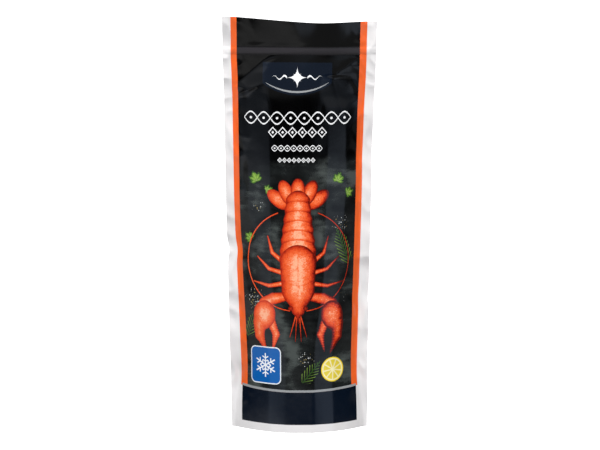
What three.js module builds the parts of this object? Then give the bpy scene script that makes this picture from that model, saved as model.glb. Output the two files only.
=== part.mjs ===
// A tall stand-up film pouch, filled and welded shut, in millimetres with +Z up.
// Two printed films are welded down both sides and across a band under the header, and a third
// film, folded into the foot, opens into a lens-shaped base that the pouch stands on.
// The origin is the middle of the foot. The front faces -Y, and +X is to the right of the front.
//
// u runs across a film from its middle and v up from its foot, both measured on the flat film.
// u grows towards +X on both films.

import * as THREE from 'three';

// Flat film
const FILM_WIDTH = 135.6;
const FILM_HEIGHT = 366;
const SIDE_WELD = 8.2;
const WELD_THICKNESS = 0.8;

const HALF_WIDTH = FILM_WIDTH / 2;
const HALF_PANEL = HALF_WIDTH - SIDE_WELD;

// Welded band under the header, which stands out of the film as one low rounded bead
const BAND_LOW = 334.8;
const BAND_HIGH = 341.3;
const BAND_PROUD = 0.45;
const BAND_ROUNDNESS = 0.7;

// How far each film stands out of the weld plane: [height, depth at the middle of the film]
const BELLY = [
  [0, 26],
  [50, 23.5],
  [114, 20],
  [150, 18.5],
  [204, 16],
  [249, 14],
  [278, 11.9],
  [300, 9.7],
  [318, 5.2],
  [BAND_LOW, 0],
];

// Film over a lumpy filling stays nearly flat in long upright facets and turns at the bends
// between them. Each bend runs up the film through marks of [height, distance from the middle,
// share of the whole turn]. A bend with no share left has run out.
const LEFT_BENDS = [
  [[62, 10.5, 0.44], [150, 25, 0.6], [285, 25, 0.6], [303, 28, 0.9], [318, 31, 1],
    [326, 27, 1], [334, 16, 1]],
  [[62, 26, 0.34], [150, 53, 0.4], [285, 53, 0.4], [303, 52, 0.1], [318, 45, 0]],
  [[62, 44, 0.22], [150, 56, 0]],
];
const RIGHT_BENDS = [
  [[62, 12, 0.44], [150, 23, 0.62], [285, 25, 0.62], [300, 20, 1], [312, 20, 1], [318, 20, 0]],
  [[62, 31, 0.33], [150, 42, 0.38], [250, 44, 0.38], [285, 39.5, 0.38], [302, 33, 0],
    [313, 29.5, 0], [319, 33, 1], [325, 42.5, 1], [332, 53, 1]],
  [[62, 47, 0.23], [150, 55, 0]],
];
const BEND_HALF_WIDTH = 2.6;

// How sharply the film turns at its bends: 0 is an even arc, and 1 is flat between the bends.
const BODY_SHARPNESS = 0.5;
const FOOT_SHARPNESS = 0.72;
const SHOULDER_SHARPNESS = 0.85;
const FOOT_ZONE = [120, 50];
const SHOULDER_ZONE = [240, 305];

// Close to where the two films part, each turns back within the peel and lies flat. Near the foot
// they part further out, so that the base opens almost to the corners. In the upper left corner
// they lie flat together past a slanting line, which reaches this far from the middle at the band.
const PEEL = 4.5;
const FOOT_PEEL = 1.5;
const SPLAY = 6.5;
const SPLAY_TOP = 70;
const CORNER_PEEL = 2;
const CORNER_LOW = 306;
const CORNER_REACH = 25.5;
const CORNER_ZONE = [CORNER_LOW - 10, CORNER_LOW + 4];

// The header leans forward, curls further forward right of its middle, and droops to the right.
// Its top edge dips in the middle. The band gathers the film a little, and the pouch bows to
// the left.
const CURL = 9.4;
const CURL_FOOT = 285;
const CURL_MIDDLE = 24;
const CURL_REACH = 26;
const LEAN = 2;
const DROOP = 4.8;
const DIP = 2.4;
const GATHER = 0.005;
const BOW = 0.9;

// Waves along the side welds: [height, length, start on the left, start on the right]. They grow
// from inside the panel to its edge, and up from the foot.
const WAVES = [
  [1.1, 132, 0, 2.1],
  [0.8, 60, 3, 0.4],
];
const WAVE_INSIDE = 20;
const WAVE_FROM_FOOT = 40;

// Places where folds draw an edge in: [side, height, half the height of the fold, depth]
const PINCHES = [
  [-1, 160, 8, 1.8],
  [1, 118, 9, 0.8],
  [1, 243, 12, 0.5],
];
const PINCH_INSIDE = 25;

// Foot: a thin rim all round, a groove inside it, and a flat middle that touches the ground
const RIM = 1.2;
const GROOVE_SLOPE = 4;
const GROOVE_DEPTH = 4.5;
const GROOVE_FULL_FROM = 12;
const REST_LENGTH = 70;
const REST_WIDTH = 24;
const REST_SLOPE = 1.6;

// Fineness of the mesh, and of the steps in which a film's section is worked out
const PANEL_COLUMNS = 36;
const FOOT_HEIGHT = 12;
const FOOT_ROWS = 3;
const BODY_ROWS = 34;
const SHOULDER_ROWS = 16;
const HEADER_ROWS = 5;
const BAND_STEPS = [0, 0.12, 0.5, 0.88];
const BASE_STEPS = [-1, -0.95, -0.86, -0.72, -0.5, -0.2, 0.2, 0.5, 0.72, 0.86, 0.95, 1];
const STEP = 0.5;
const STEPS = Math.ceil(HALF_WIDTH / STEP);
const TURN_PASSES = 7;

const square = (a) => a * a;
const mix = (from, to, share) => from + (to - from) * share;
const clamp = (a) => Math.min(1, Math.max(0, a));
const sum = (values) => values.reduce((total, value) => total + value, 0);

// Rises smoothly from 0 at one value to 1 at the other, which may be the lower one.
function ease(from, to, at) {
  const t = clamp((at - from) / (to - from));
  return t * t * (3 - 2 * t);
}

// A fold runs along points of a film. It is a ridge with nearly straight sides and a rounded
// edge, or sinks in where its height is negative, and it fades out at both ends. Its widths are
// to the left and to the right of its run.
function crease(points, widths, height, edge = 1.2) {
  return { points, widths, height, edge };
}

// Short ripples that run inwards from a side weld, where the belly draws the weld in unevenly.
function weldRipples(side, start, pitch) {
  return Array.from({ length: 9 }, (_, n) => {
    const v = start + pitch * n + 5 * Math.sin(2.4 * n + start);
    const reach = 13 + 6 * Math.sin(1.7 * n + pitch);
    const inner = [side * (HALF_PANEL - reach), v + 9 * Math.cos(1.9 * n)];
    return crease([[side * (HALF_PANEL + 6), v], inner], [3, 3], 0.55 + 0.3 * Math.sin(3.1 * n));
  });
}

// A sharp ridge from a corner of the band inwards, and on down along the edge of the belly, with
// a shallow hollow beside it.
function kinkedRidge(side, rise) {
  const places = [[53, 332], [42.5, 325], [33, 319], [29.5, 313], [31.5, 308], [35, 297], [40, 282]];
  const widths = side > 0 ? [3, 1.8] : [1.8, 3];
  return [
    crease(places.map(([u, v]) => [side * u, v + rise]), widths, 0.55, 0.6),
    crease([[side * 24, 312], [side * 19, 276]], [7, 7], -0.4),
  ];
}

// A slanting ridge below a corner of the band, steep below and long above.
function slantedRidge(side, rise) {
  const points = [[side * 58, 297], [side * 43, 305.2], [side * 29, 311.4 - rise]];
  return crease(points, side > 0 ? [1.6, 3.4] : [3.4, 1.6], 0.9, 0.5);
}

// Long soft folds on the belly, a little inside each weld.
function bellyFolds(side, lean) {
  return [
    crease([[side * 47, 250], [side * (43 + lean), 180]], [7, 7], 0.4, 2.5),
    crease([[side * 30, 196], [side * (26 - lean), 120]], [8, 8], -0.35, 2.5),
    crease([[side * 44, 128], [side * (39 + lean), 60]], [7, 7], 0.4, 2.5),
  ];
}

const FRONT_FOLDS = [
  slantedRidge(-1, 0),
  ...kinkedRidge(1, 0),
  ...weldRipples(-1, 24, 31),
  ...weldRipples(1, 38, 29),
  ...bellyFolds(-1, 2),
  ...bellyFolds(1, -3),
];
const BACK_FOLDS = [
  slantedRidge(-1, 4),
  ...kinkedRidge(1, 3),
  ...weldRipples(-1, 21, 32),
  ...weldRipples(1, 33, 30),
  ...bellyFolds(-1, 3),
  ...bellyFolds(1, -2),
];

// Faint folds across the header, where both films lie together and bend as one.
const HEADER_FOLDS = [
  crease([[-46, 372], [-38, 343]], [7, 7], 0.6),
  crease([[-8, 372], [3, 340]], [8, 8], -0.4),
  crease([[12, 368], [34, 344]], [6, 6], 0.4),
  crease([[44, 372], [60, 352], [52, 340]], [5, 5], 0.7),
];

// Depth of the belly at a height, on one smooth curve through the BELLY stations.
function bellyDepth(v) {
  if (v >= BAND_LOW) return 0;
  let n = 0;
  while (n < BELLY.length - 2 && v > BELLY[n + 1][0]) n += 1;
  const slopeAt = (k) => {
    const before = BELLY[Math.max(0, k - 1)];
    const after = BELLY[Math.min(BELLY.length - 1, k + 1)];
    return (after[1] - before[1]) / (after[0] - before[0]);
  };
  const [low, lowDepth] = BELLY[n];
  const [high, highDepth] = BELLY[n + 1];
  const span = high - low;
  const t = (v - low) / span;
  const lowPart = (1 + 2 * t) * square(1 - t) * lowDepth + t * square(1 - t) * span * slopeAt(n);
  const highPart = t * t * (3 - 2 * t) * highDepth + t * t * (t - 1) * span * slopeAt(n + 1);
  return Math.max(0, lowPart + highPart);
}

// Where the two films part on one side of their middle.
function halfPanel(side, v) {
  const inCorner = side < 0 ? clamp((v - CORNER_LOW) / (BAND_LOW - CORNER_LOW)) : 0;
  return HALF_PANEL + SPLAY * ease(SPLAY_TOP, 0, v) - (HALF_PANEL - CORNER_REACH) * inCorner;
}

// The bends on one side of the middle at a height, as [distance from the middle, share].
function bendsAt(side, v) {
  return (side < 0 ? LEFT_BENDS : RIGHT_BENDS).map((marks) => {
    const above = marks.findIndex((mark) => v <= mark[0]);
    const high = marks[above < 0 ? marks.length - 1 : above];
    const low = marks[above < 0 ? marks.length - 1 : Math.max(0, above - 1)];
    const t = low === high ? 1 : ease(low[0], high[0], v);
    return [mix(low[1], high[1], t), mix(low[2], high[2], t)];
  });
}

// How far the film has turned at each step from its middle, as a share of its most.
function turnShares(side, v) {
  const bends = bendsAt(side, v);
  const reach = halfPanel(side, v);
  const peel = PEEL
    + (FOOT_PEEL - PEEL) * ease(SPLAY_TOP, 0, v)
    + (side < 0 ? (CORNER_PEEL - PEEL) * ease(...CORNER_ZONE, v) : 0);
  const sharpness = BODY_SHARPNESS
    + (FOOT_SHARPNESS - BODY_SHARPNESS) * ease(...FOOT_ZONE, v)
    + (SHOULDER_SHARPNESS - BODY_SHARPNESS) * ease(...SHOULDER_ZONE, v);
  return Array.from({ length: STEPS + 1 }, (_, n) => {
    const s = Math.min(n * STEP, reach);
    const passed = ([at, share]) => share * ease(at - BEND_HALF_WIDTH, at + BEND_HALF_WIDTH, s);
    return mix(s / reach, sum(bends.map(passed)), sharpness) * ease(reach, reach - peel, s);
  });
}

// One side of a film at a height, step by step from its middle: how far sideways it lies, and how
// far out of the weld plane. The film keeps its length. Its most turn is set in a few passes, so
// that it comes down to the weld plane where the films part.
function halfSection(side, v) {
  const shares = turnShares(side, v);
  const depth = bellyDepth(v);
  const reach = STEP * sum(shares);
  let most = depth / reach;
  for (let pass = 0; pass < TURN_PASSES; pass += 1) {
    const fall = STEP * sum(shares.map((share) => Math.sin(most * share)));
    most += (depth - fall) / reach;
  }
  const sideways = [0];
  const out = [depth];
  for (let n = 0; n < STEPS; n += 1) {
    const turn = (most * (shares[n] + shares[n + 1])) / 2;
    sideways.push(sideways[n] + STEP * Math.cos(turn));
    out.push(out[n] - STEP * Math.sin(turn));
  }
  return { sideways, out };
}

function fullSection(v) {
  return { left: halfSection(-1, v), right: halfSection(1, v) };
}

// A point of a section, as its place across and its distance out of the weld plane.
function onSection(section, u) {
  const { sideways, out } = u < 0 ? section.left : section.right;
  const steps = Math.abs(u) / STEP;
  const n = Math.min(STEPS - 1, Math.floor(steps));
  return {
    x: Math.sign(u) * mix(sideways[n], sideways[n + 1], steps - n),
    out: Math.max(0, mix(out[n], out[n + 1], steps - n)),
  };
}

function creaseHeight({ points, widths, height, edge }, u, v) {
  let nearest = Infinity;
  let width = widths[0];
  let place = 0;
  let passed = 0;
  for (let n = 0; n < points.length - 1; n += 1) {
    const [u0, v0] = points[n];
    const alongU = points[n + 1][0] - u0;
    const alongV = points[n + 1][1] - v0;
    const length = Math.hypot(alongU, alongV);
    const share = clamp(((u - u0) * alongU + (v - v0) * alongV) / square(length));
    const distance = Math.hypot(u - u0 - share * alongU, v - v0 - share * alongV);
    if (distance < nearest) {
      nearest = distance;
      place = passed + share * length;
      width = widths[alongU * (v - v0) < alongV * (u - u0) ? 1 : 0];
    }
    passed += length;
  }
  const fade = Math.max(0, Math.sin((Math.PI * place) / passed)) ** 0.6;
  return height * fade * Math.exp((edge - Math.hypot(nearest, edge)) / width);
}

// All the folds of a film. They fade out at the edges, at the foot rim and at the band, which are
// held straight.
function creases(folds, u, v) {
  const inEdges = ease(HALF_WIDTH, HALF_PANEL - 7, Math.abs(u));
  const inEnds = ease(0, FOOT_HEIGHT, v) * ease(BAND_LOW, BAND_LOW - 5, v);
  return inEdges * inEnds * sum(folds.map((fold) => creaseHeight(fold, u, v)));
}

// Where the weld plane itself lies. The header curls forward and the side welds wave a little.
function plane(x, v) {
  const rise = Math.max(0, (v - CURL_FOOT) / (FILM_HEIGHT - CURL_FOOT));
  const curl = (CURL * Math.exp(-square((x - CURL_MIDDLE) / CURL_REACH)) + LEAN) * square(rise);
  const headerFolds = sum(HEADER_FOLDS.map((fold) => creaseHeight(fold, x, v)));
  const folded = ease(BAND_HIGH, BAND_HIGH + 5, v) * headerFolds;
  const atEdge = ease(HALF_PANEL - WAVE_INSIDE, HALF_WIDTH, Math.abs(x)) * ease(0, WAVE_FROM_FOOT, v);
  const wave = ([height, length, left, right]) => (
    height * Math.sin((2 * Math.PI * v) / length + (x > 0 ? right : left))
  );
  return atEdge * sum(WAVES.map(wave)) - curl - folded;
}

function upward(x, v) {
  const dip = DIP * square(Math.cos((Math.PI * x) / FILM_WIDTH)) * ease(BAND_LOW, FILM_HEIGHT, v);
  const droop = DROOP * (x / FILM_WIDTH) * ease(BAND_HIGH, FILM_HEIGHT, v);
  return v - dip - droop;
}

// How far right a point lies, once the band gathers the film, folds pinch its edges and the pouch
// bows.
function rightward(x, v) {
  const gathered = x * (1 - GATHER * ease(FILM_HEIGHT, BAND_HIGH, v));
  const pinch = ([side, middle, halfHeight, depth]) => (
    side * depth * ease(HALF_PANEL - PINCH_INSIDE, HALF_WIDTH, side * x)
    * Math.exp(-square((v - middle) / halfHeight))
  );
  return gathered - sum(PINCHES.map(pinch)) - BOW * Math.sin((Math.PI * v) / FILM_HEIGHT);
}

function bandProud(v) {
  const t = clamp((v - BAND_LOW) / (BAND_HIGH - BAND_LOW));
  return BAND_PROUD * Math.max(0, Math.sin(Math.PI * t)) ** BAND_ROUNDNESS;
}

// A point of the front film (facing = -1) or the back film (facing = 1).
function filmPoint(facing, section, u, v) {
  const { x, out } = onSection(section, u);
  const relief = creases(facing < 0 ? FRONT_FOLDS : BACK_FOLDS, u, v) + bandProud(v);
  const y = plane(u, v) + facing * (WELD_THICKNESS / 2 + out + relief);
  return new THREE.Vector3(rightward(x, v), y, upward(u, v));
}

function spaced(from, to, count) {
  return Array.from({ length: count }, (_, n) => mix(from, to, n / count));
}

const FOOT_CORNER = halfPanel(1, 0);
const COLUMNS = [
  -HALF_WIDTH,
  -FOOT_CORNER,
  ...spaced(-HALF_PANEL, HALF_PANEL, PANEL_COLUMNS),
  HALF_PANEL,
  FOOT_CORNER,
  HALF_WIDTH,
];
const ROWS = [
  ...spaced(0, FOOT_HEIGHT, FOOT_ROWS),
  ...spaced(FOOT_HEIGHT, CURL_FOOT, BODY_ROWS),
  ...spaced(CURL_FOOT, BAND_LOW, SHOULDER_ROWS),
  ...BAND_STEPS.map((step) => mix(BAND_LOW, BAND_HIGH, step)),
  ...spaced(BAND_HIGH, FILM_HEIGHT, HEADER_ROWS),
  FILM_HEIGHT,
];
const SECTIONS = ROWS.map(fullSection);

// How high the underside is at a point of the foot: nothing at the rim and on the flat middle.
function footHeight(x, y, depth) {
  const fromRim = depth - Math.abs(y);
  const fromMiddle = Math.hypot(x / (REST_LENGTH / 2), y / (REST_WIDTH / 2));
  const roomForGroove = ease(2 * RIM, GROOVE_FULL_FROM, depth);
  const groove = ease(RIM, RIM + GROOVE_SLOPE, fromRim) * ease(1, REST_SLOPE, fromMiddle);
  return GROOVE_DEPTH * groove * roomForGroove;
}

// Collects the corners and triangles of one closed skin.
class Skin {
  constructor() {
    this.points = [];
    this.triangles = [];
  }

  add(point) {
    this.points.push(point.x, point.y, point.z);
    return this.points.length / 3 - 1;
  }

  triangle(a, b, c) {
    this.triangles.push(a, b, c);
  }

  quad(a, b, c, d) {
    this.triangle(a, b, c);
    this.triangle(a, c, d);
  }

  geometry() {
    const geometry = new THREE.BufferGeometry();
    geometry.setAttribute('position', new THREE.Float32BufferAttribute(this.points, 3));
    geometry.setIndex(this.triangles);
    geometry.computeVertexNormals();
    return geometry;
  }
}

function addFilm(skin, facing) {
  return COLUMNS.map((u) => ROWS.map((v, row) => skin.add(filmPoint(facing, SECTIONS[row], u, v))));
}

// Joins the two films' faces, their side edges and their top edge.
function closeFilms(skin, front, back) {
  const lastColumn = COLUMNS.length - 1;
  const lastRow = ROWS.length - 1;
  for (let i = 0; i < lastColumn; i += 1) {
    for (let j = 0; j < lastRow; j += 1) {
      skin.quad(front[i][j], front[i + 1][j], front[i + 1][j + 1], front[i][j + 1]);
      skin.quad(back[i + 1][j], back[i][j], back[i][j + 1], back[i + 1][j + 1]);
    }
    skin.quad(front[i][lastRow], front[i + 1][lastRow], back[i + 1][lastRow], back[i][lastRow]);
  }
  for (let j = 0; j < lastRow; j += 1) {
    skin.quad(back[0][j], front[0][j], front[0][j + 1], back[0][j + 1]);
    skin.quad(front[lastColumn][j], back[lastColumn][j], back[lastColumn][j + 1], front[lastColumn][j + 1]);
  }
}

// One line of the foot, from the front film's rim to the back film's.
function footLine(skin, front, back, u) {
  const { x, out } = onSection(SECTIONS[0], u);
  const depth = out + WELD_THICKNESS / 2;
  return BASE_STEPS.map((step) => {
    if (step === -1) return front;
    if (step === 1) return back;
    return skin.add(new THREE.Vector3(rightward(x, 0), step * depth, footHeight(x, step * depth, depth)));
  });
}

// Closes the foot: a strip under each side weld, a fan where the base begins, and the base.
function closeFoot(skin, front, back) {
  const last = COLUMNS.length - 1;
  const lines = [];
  for (let i = 2; i <= last - 2; i += 1) {
    lines.push(footLine(skin, front[i][0], back[i][0], COLUMNS[i]));
  }
  for (let n = 0; n < lines.length - 1; n += 1) {
    for (let k = 0; k < BASE_STEPS.length - 1; k += 1) {
      skin.quad(lines[n][k], lines[n][k + 1], lines[n + 1][k + 1], lines[n + 1][k]);
    }
  }
  skin.quad(front[0][0], back[0][0], back[1][0], front[1][0]);
  skin.quad(front[last - 1][0], back[last - 1][0], back[last][0], front[last][0]);
  const first = lines[0];
  const end = lines[lines.length - 1];
  const half = Math.floor(BASE_STEPS.length / 2);
  for (let k = 0; k < BASE_STEPS.length - 1; k += 1) {
    skin.triangle(k < half ? front[1][0] : back[1][0], first[k + 1], first[k]);
    skin.triangle(k < half ? front[last - 1][0] : back[last - 1][0], end[k], end[k + 1]);
  }
  skin.triangle(front[1][0], back[1][0], first[half]);
  skin.triangle(back[last - 1][0], front[last - 1][0], end[half]);
}

function pouch() {
  const skin = new Skin();
  const front = addFilm(skin, -1);
  const back = addFilm(skin, 1);
  closeFilms(skin, front, back);
  closeFoot(skin, front, back);
  const film = new THREE.MeshStandardMaterial({ color: 0x1b1a1d, roughness: 0.32, metalness: 0 });
  const mesh = new THREE.Mesh(skin.geometry(), film);
  mesh.name = 'pouch';
  return mesh;
}

const group = new THREE.Group();
group.add(pouch());

export default group;
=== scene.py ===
# %% [markdown]
# # A stand-up film pouch
# A pouch like this is three sheets of printed plastic film. Two tall sheets are welded together
# down both sides and across a band near the top, and a third is folded into the foot. When the
# pouch is filled, the foot opens into a lens and the pouch stands on its rim. The solid part
# already has that outer form, so this lesson dresses it: it models the three films as thin
# sheets, prints them with plain fields of colour and simple shapes, and lights them so that the
# gloss shows.

# %% Load the frame
import math
from functools import reduce

import bpy
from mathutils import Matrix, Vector, noise


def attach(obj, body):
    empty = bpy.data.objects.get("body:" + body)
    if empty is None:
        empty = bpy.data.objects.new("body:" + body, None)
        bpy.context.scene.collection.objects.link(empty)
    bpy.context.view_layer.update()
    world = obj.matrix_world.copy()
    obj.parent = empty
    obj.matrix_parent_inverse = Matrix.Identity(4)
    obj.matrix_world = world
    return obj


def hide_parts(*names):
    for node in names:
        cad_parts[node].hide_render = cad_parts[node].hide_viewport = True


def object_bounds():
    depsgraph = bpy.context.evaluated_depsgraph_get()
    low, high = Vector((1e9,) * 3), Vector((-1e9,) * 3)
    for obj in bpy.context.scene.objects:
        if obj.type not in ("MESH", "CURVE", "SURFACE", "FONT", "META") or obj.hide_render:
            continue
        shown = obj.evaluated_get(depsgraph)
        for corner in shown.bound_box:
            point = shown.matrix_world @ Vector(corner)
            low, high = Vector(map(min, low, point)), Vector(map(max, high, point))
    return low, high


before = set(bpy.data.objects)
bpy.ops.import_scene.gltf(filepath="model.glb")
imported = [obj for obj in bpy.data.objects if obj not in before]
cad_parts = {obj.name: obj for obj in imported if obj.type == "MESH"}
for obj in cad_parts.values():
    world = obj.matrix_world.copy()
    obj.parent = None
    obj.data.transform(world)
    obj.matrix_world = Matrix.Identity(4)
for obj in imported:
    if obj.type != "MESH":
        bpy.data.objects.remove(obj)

CAD_LOW, CAD_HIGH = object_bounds()
print("solid pouch, metres:", [round(side, 4) for side in CAD_HIGH - CAD_LOW])

# %% [markdown]
# ## Measures
# Film is cut flat, so it is easiest to think of every point of it by two distances on the flat
# sheet: u across from the middle, and v up from the foot, both in millimetres. The print is
# drawn in those distances too, and then it bends with the film as real print does. The width,
# the height and the depth of the foot come from the solid part.

# %% Measures of the film
MM = 0.001
DROOP = 4.8
WELD_HALF = 0.25
SOLID_WELD_HALF = 0.4

FILM_WIDTH = round((CAD_HIGH.x - CAD_LOW.x) / MM, 1)
FILM_HEIGHT = round(CAD_HIGH.z / MM - DROOP / 2, 1)
FOOT_DEPTH = round(CAD_HIGH.y / MM - SOLID_WELD_HALF, 1)
SIDE_WELD = 8.2
HALF_WIDTH = FILM_WIDTH / 2
HALF_PANEL = HALF_WIDTH - SIDE_WELD

BAND_LOW, BAND_HIGH = 334.8, 341.3
BAND_MIDDLE, BAND_HALF = (BAND_LOW + BAND_HIGH) / 2, (BAND_HIGH - BAND_LOW) / 2
print("flat film:", FILM_WIDTH, "x", FILM_HEIGHT, "mm, foot", 2 * FOOT_DEPTH, "mm deep")


# %% [markdown]
# ## A shorthand for shader nodes
# A print is a long sum of small steps, and each step is a node. Written out one by one they would
# bury the drawing. So a number that a node makes is wrapped in a small class, and Python's own
# signs on it add the Math nodes. Every other node comes from one method.

# %% Numbers that nodes make
def sign(operation):
    """What one of Python's signs does to a number and what follows it."""
    return lambda number, other: number.sheet.math(operation, number, other)


class Number:
    """A number that a node makes. Python's signs on it add the Math nodes."""

    def __init__(self, sheet, socket):
        self.sheet, self.socket = sheet, socket

    __add__ = __radd__ = sign("ADD")
    __mul__ = __rmul__ = sign("MULTIPLY")
    __sub__, __truediv__ = sign("SUBTRACT"), sign("DIVIDE")

    def __rsub__(self, other):
        return self.sheet.math("SUBTRACT", other, self)

    def __neg__(self):
        return self * -1

    def __abs__(self):
        return self.sheet.math("ABSOLUTE", self)


# %% Sheets of nodes
class Sheet:
    """A tree of shader nodes, and the one way in which this lesson adds to it."""

    def __init__(self, tree):
        self.tree = tree

    def node(self, kind, settings, sockets):
        """Adds a node. Its settings are set first, and then its sockets, by name or number."""
        made = self.tree.nodes.new(kind)
        for name, value in settings.items():
            setattr(made, name, value)
        for name, value in sockets.items():
            self.feed(made.inputs[name], value)
        return made

    def feed(self, socket, value):
        if isinstance(value, Number):
            value = value.socket
        if isinstance(value, bpy.types.NodeSocket):
            self.tree.links.new(value, socket)
        else:
            socket.default_value = value

    def number(self, kind, settings, sockets):
        """Adds a node whose first output is a number."""
        return Number(self, self.node(kind, settings, sockets).outputs[0])

    def math(self, operation, *terms, clamp=False):
        settings = {"operation": operation, "use_clamp": clamp}
        return self.number("ShaderNodeMath", settings, dict(enumerate(terms)))

    def vector(self, operation, *terms, makes="Vector"):
        """A Vector Math node that makes a place."""
        made = self.node("ShaderNodeVectorMath", {"operation": operation}, dict(enumerate(terms)))
        return made.outputs[makes]

    def measure(self, operation, *terms):
        """A Vector Math node that makes a number."""
        return Number(self, self.vector(operation, *terms, makes="Value"))

    def split(self, place):
        parts = self.node("ShaderNodeSeparateXYZ", {}, {0: place}).outputs
        return Number(self, parts[0]), Number(self, parts[1]), Number(self, parts[2])

    def join(self, across, up):
        return self.node("ShaderNodeCombineXYZ", {}, {0: across, 1: up}).outputs[0]

    def turned(self, place, centre, degrees, stretch=(1, 1)):
        """A place as measured from a centre, along turned and stretched axes."""
        sockets = {"Vector": place, "Location": (*centre, 0),
                   "Rotation": (0, 0, math.radians(degrees)), "Scale": (*stretch, 1)}
        return self.node("ShaderNodeMapping", {"vector_type": "TEXTURE"}, sockets).outputs[0]

    def smooth(self, value, start, stop):
        """Rises smoothly from 0 at start to 1 at stop."""
        settings = {"interpolation_type": "SMOOTHSTEP"}
        sockets = {"Value": value, "From Min": start, "From Max": stop}
        return self.number("ShaderNodeMapRange", settings, sockets)

    def blend(self, share, first, second):
        """A number between two numbers."""
        sockets = {0: share, 2: first, 3: second}
        return self.number("ShaderNodeMix", {"data_type": "FLOAT"}, sockets)

    def paint(self, share, below, above):
        """A colour laid over another where the share is 1."""
        sockets = {0: share, 6: below, 7: above}
        return self.node("ShaderNodeMix", {"data_type": "RGBA"}, sockets).outputs[2]


def ink(*channels):
    """A colour from its screen values of 0 to 255, turned into the light that shaders use."""
    return (*((channel / 255) ** 2.2 for channel in channels), 1)


def new_material(name):
    """A material with nodes, and its surface shader."""
    material = bpy.data.materials.new(name)
    material.use_nodes = True
    return material, material.node_tree.nodes["Principled BSDF"]


print("black ink as light:", [round(channel, 4) for channel in ink(8, 8, 9)])

# %% [markdown]
# ## Camera, floor and light
# Black gloss film shows almost nothing but reflections, so the lights matter as much as the
# film. Tall strip lights stand in front and behind, one on each side, and draw the long soft
# streaks. Three faint panels in front mirror only where the film slants at its shoulders. The
# four lights that brighten the white edges must not mirror in the film, or the black would turn
# grey. So they and the floor are hidden from glossy rays, and the floor gives no light at all.
# What glossy rays see of the room is dim, with a black belt that the upright belly mirrors, a
# paler skirting below the belt on the left, and a paler ceiling.

# %% Camera
CAMERA_RISE = math.radians(10.5)
CAMERA_DISTANCE = 3.057
AIM = Vector((0.0004, 0, 0.1826))
LENS_PER_SENSOR = 3461 / 600
SENSOR = 36

camera_data = bpy.data.cameras.new("camera")
camera_data.sensor_width = SENSOR
camera_data.lens = SENSOR * LENS_PER_SENSOR
camera = bpy.data.objects.new("camera", camera_data)
bpy.context.scene.collection.objects.link(camera)
toward = Vector((0, -math.cos(CAMERA_RISE), math.sin(CAMERA_RISE)))
camera.location = AIM + toward * CAMERA_DISTANCE
camera.rotation_euler = (-toward).to_track_quat("-Z", "Y").to_euler()
bpy.context.scene.camera = camera
bpy.context.scene.view_settings.view_transform = "Standard"
print("camera at", [round(c, 3) for c in camera.location])


# %% Lights
STRIP_TINT = (0.68, 0.8, 1.0)


def panel_light(name, place, aim, size, power, mirrored):
    """A rectangular soft light, aimed at a point. Only a mirrored one shows in the gloss."""
    data = bpy.data.lights.new(name, "AREA")
    data.shape = "RECTANGLE"
    data.size, data.size_y = size
    data.energy = power
    data.color = STRIP_TINT if mirrored else (1, 1, 1)
    lamp = bpy.data.objects.new(name, data)
    bpy.context.scene.collection.objects.link(lamp)
    lamp.location = place
    lamp.rotation_euler = (Vector(aim) - Vector(place)).to_track_quat("-Z", "Y").to_euler()
    lamp.visible_glossy = mirrored
    lamp.visible_camera = False


def around(turn, reach, rise):
    """A place at a height, on a circle round the pouch. Turn 0 is in front, to the camera."""
    angle = math.radians(turn)
    return (reach * math.sin(angle), -reach * math.cos(angle), rise)


STRIP_REACH = 1.5
POUCH_MIDDLE = (0, 0, 0.18)
STRIP_PARTS = {"low": (-0.29, 0.84), "high": (0.94, 1.6)}


def strip_light(name, turns, widths, powers):
    """A tall strip of two panels, one above the other, for the streaks in the gloss."""
    for n, (part, (rise, height)) in enumerate(STRIP_PARTS.items()):
        place, aim = around(turns[n], STRIP_REACH, rise), (0, 0, rise)
        panel_light(f"{name}_{part}", place, aim, (widths[n], height), powers[n], True)


strip_light("strip_left", (-42, -46), (0.64, 0.9), (0.66, 1.1))
panel_light("shoulder_left", around(-20, STRIP_REACH, 0.56), POUCH_MIDDLE, (0.54, 0.7), 0.2, True)
panel_light("shoulder_right", around(28, STRIP_REACH, 0.5), POUCH_MIDDLE, (0.26, 0.62), 0.15, True)
panel_light("neck_right", around(16, STRIP_REACH, 0.42), POUCH_MIDDLE, (0.4, 0.5), 0.17, True)
strip_light("strip_right", (40, 42), (0.48, 0.6), (0.8, 0.75))
strip_light("strip_back_left", (-140, -140), (0.4, 0.4), (0.5, 0.6))
strip_light("strip_back_right", (140, 140), (0.4, 0.4), (0.5, 0.6))
panel_light("key", (-0.45, -0.95, 2.3), POUCH_MIDDLE, (0.8, 0.8), 56, False)
panel_light("fill", (1.4, -1.7, 1.0), POUCH_MIDDLE, (1.6, 1.6), 19, False)
panel_light("bounce", (-0.1, -0.5, 0.03), (0, 0, 0.1), (0.8, 0.3), 0.4, False)
panel_light("rear", (0, 2.4, 2.0), POUCH_MIDDLE, (2.0, 1.6), 40, False)

# %% The room
ROOM_LIGHT = 0.3
DIM_WALLS, SKIRTING_GLOW, CEILING_GLOW = 0.18, 0.38, 0.3
BELT_TOP, BELT_TOP_BLACK = 0.115, 0.075
BELT_FOOT, BELT_FOOT_BLACK = -0.18, -0.145
SKIRTING_FOOT, SKIRTING_FADE = -0.38, -0.26
SKIRTING_RIGHT, SKIRTING_LEFT = 0.3, 0.1
CEILING_START, CEILING_FULL = 0.42, 0.6

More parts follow.
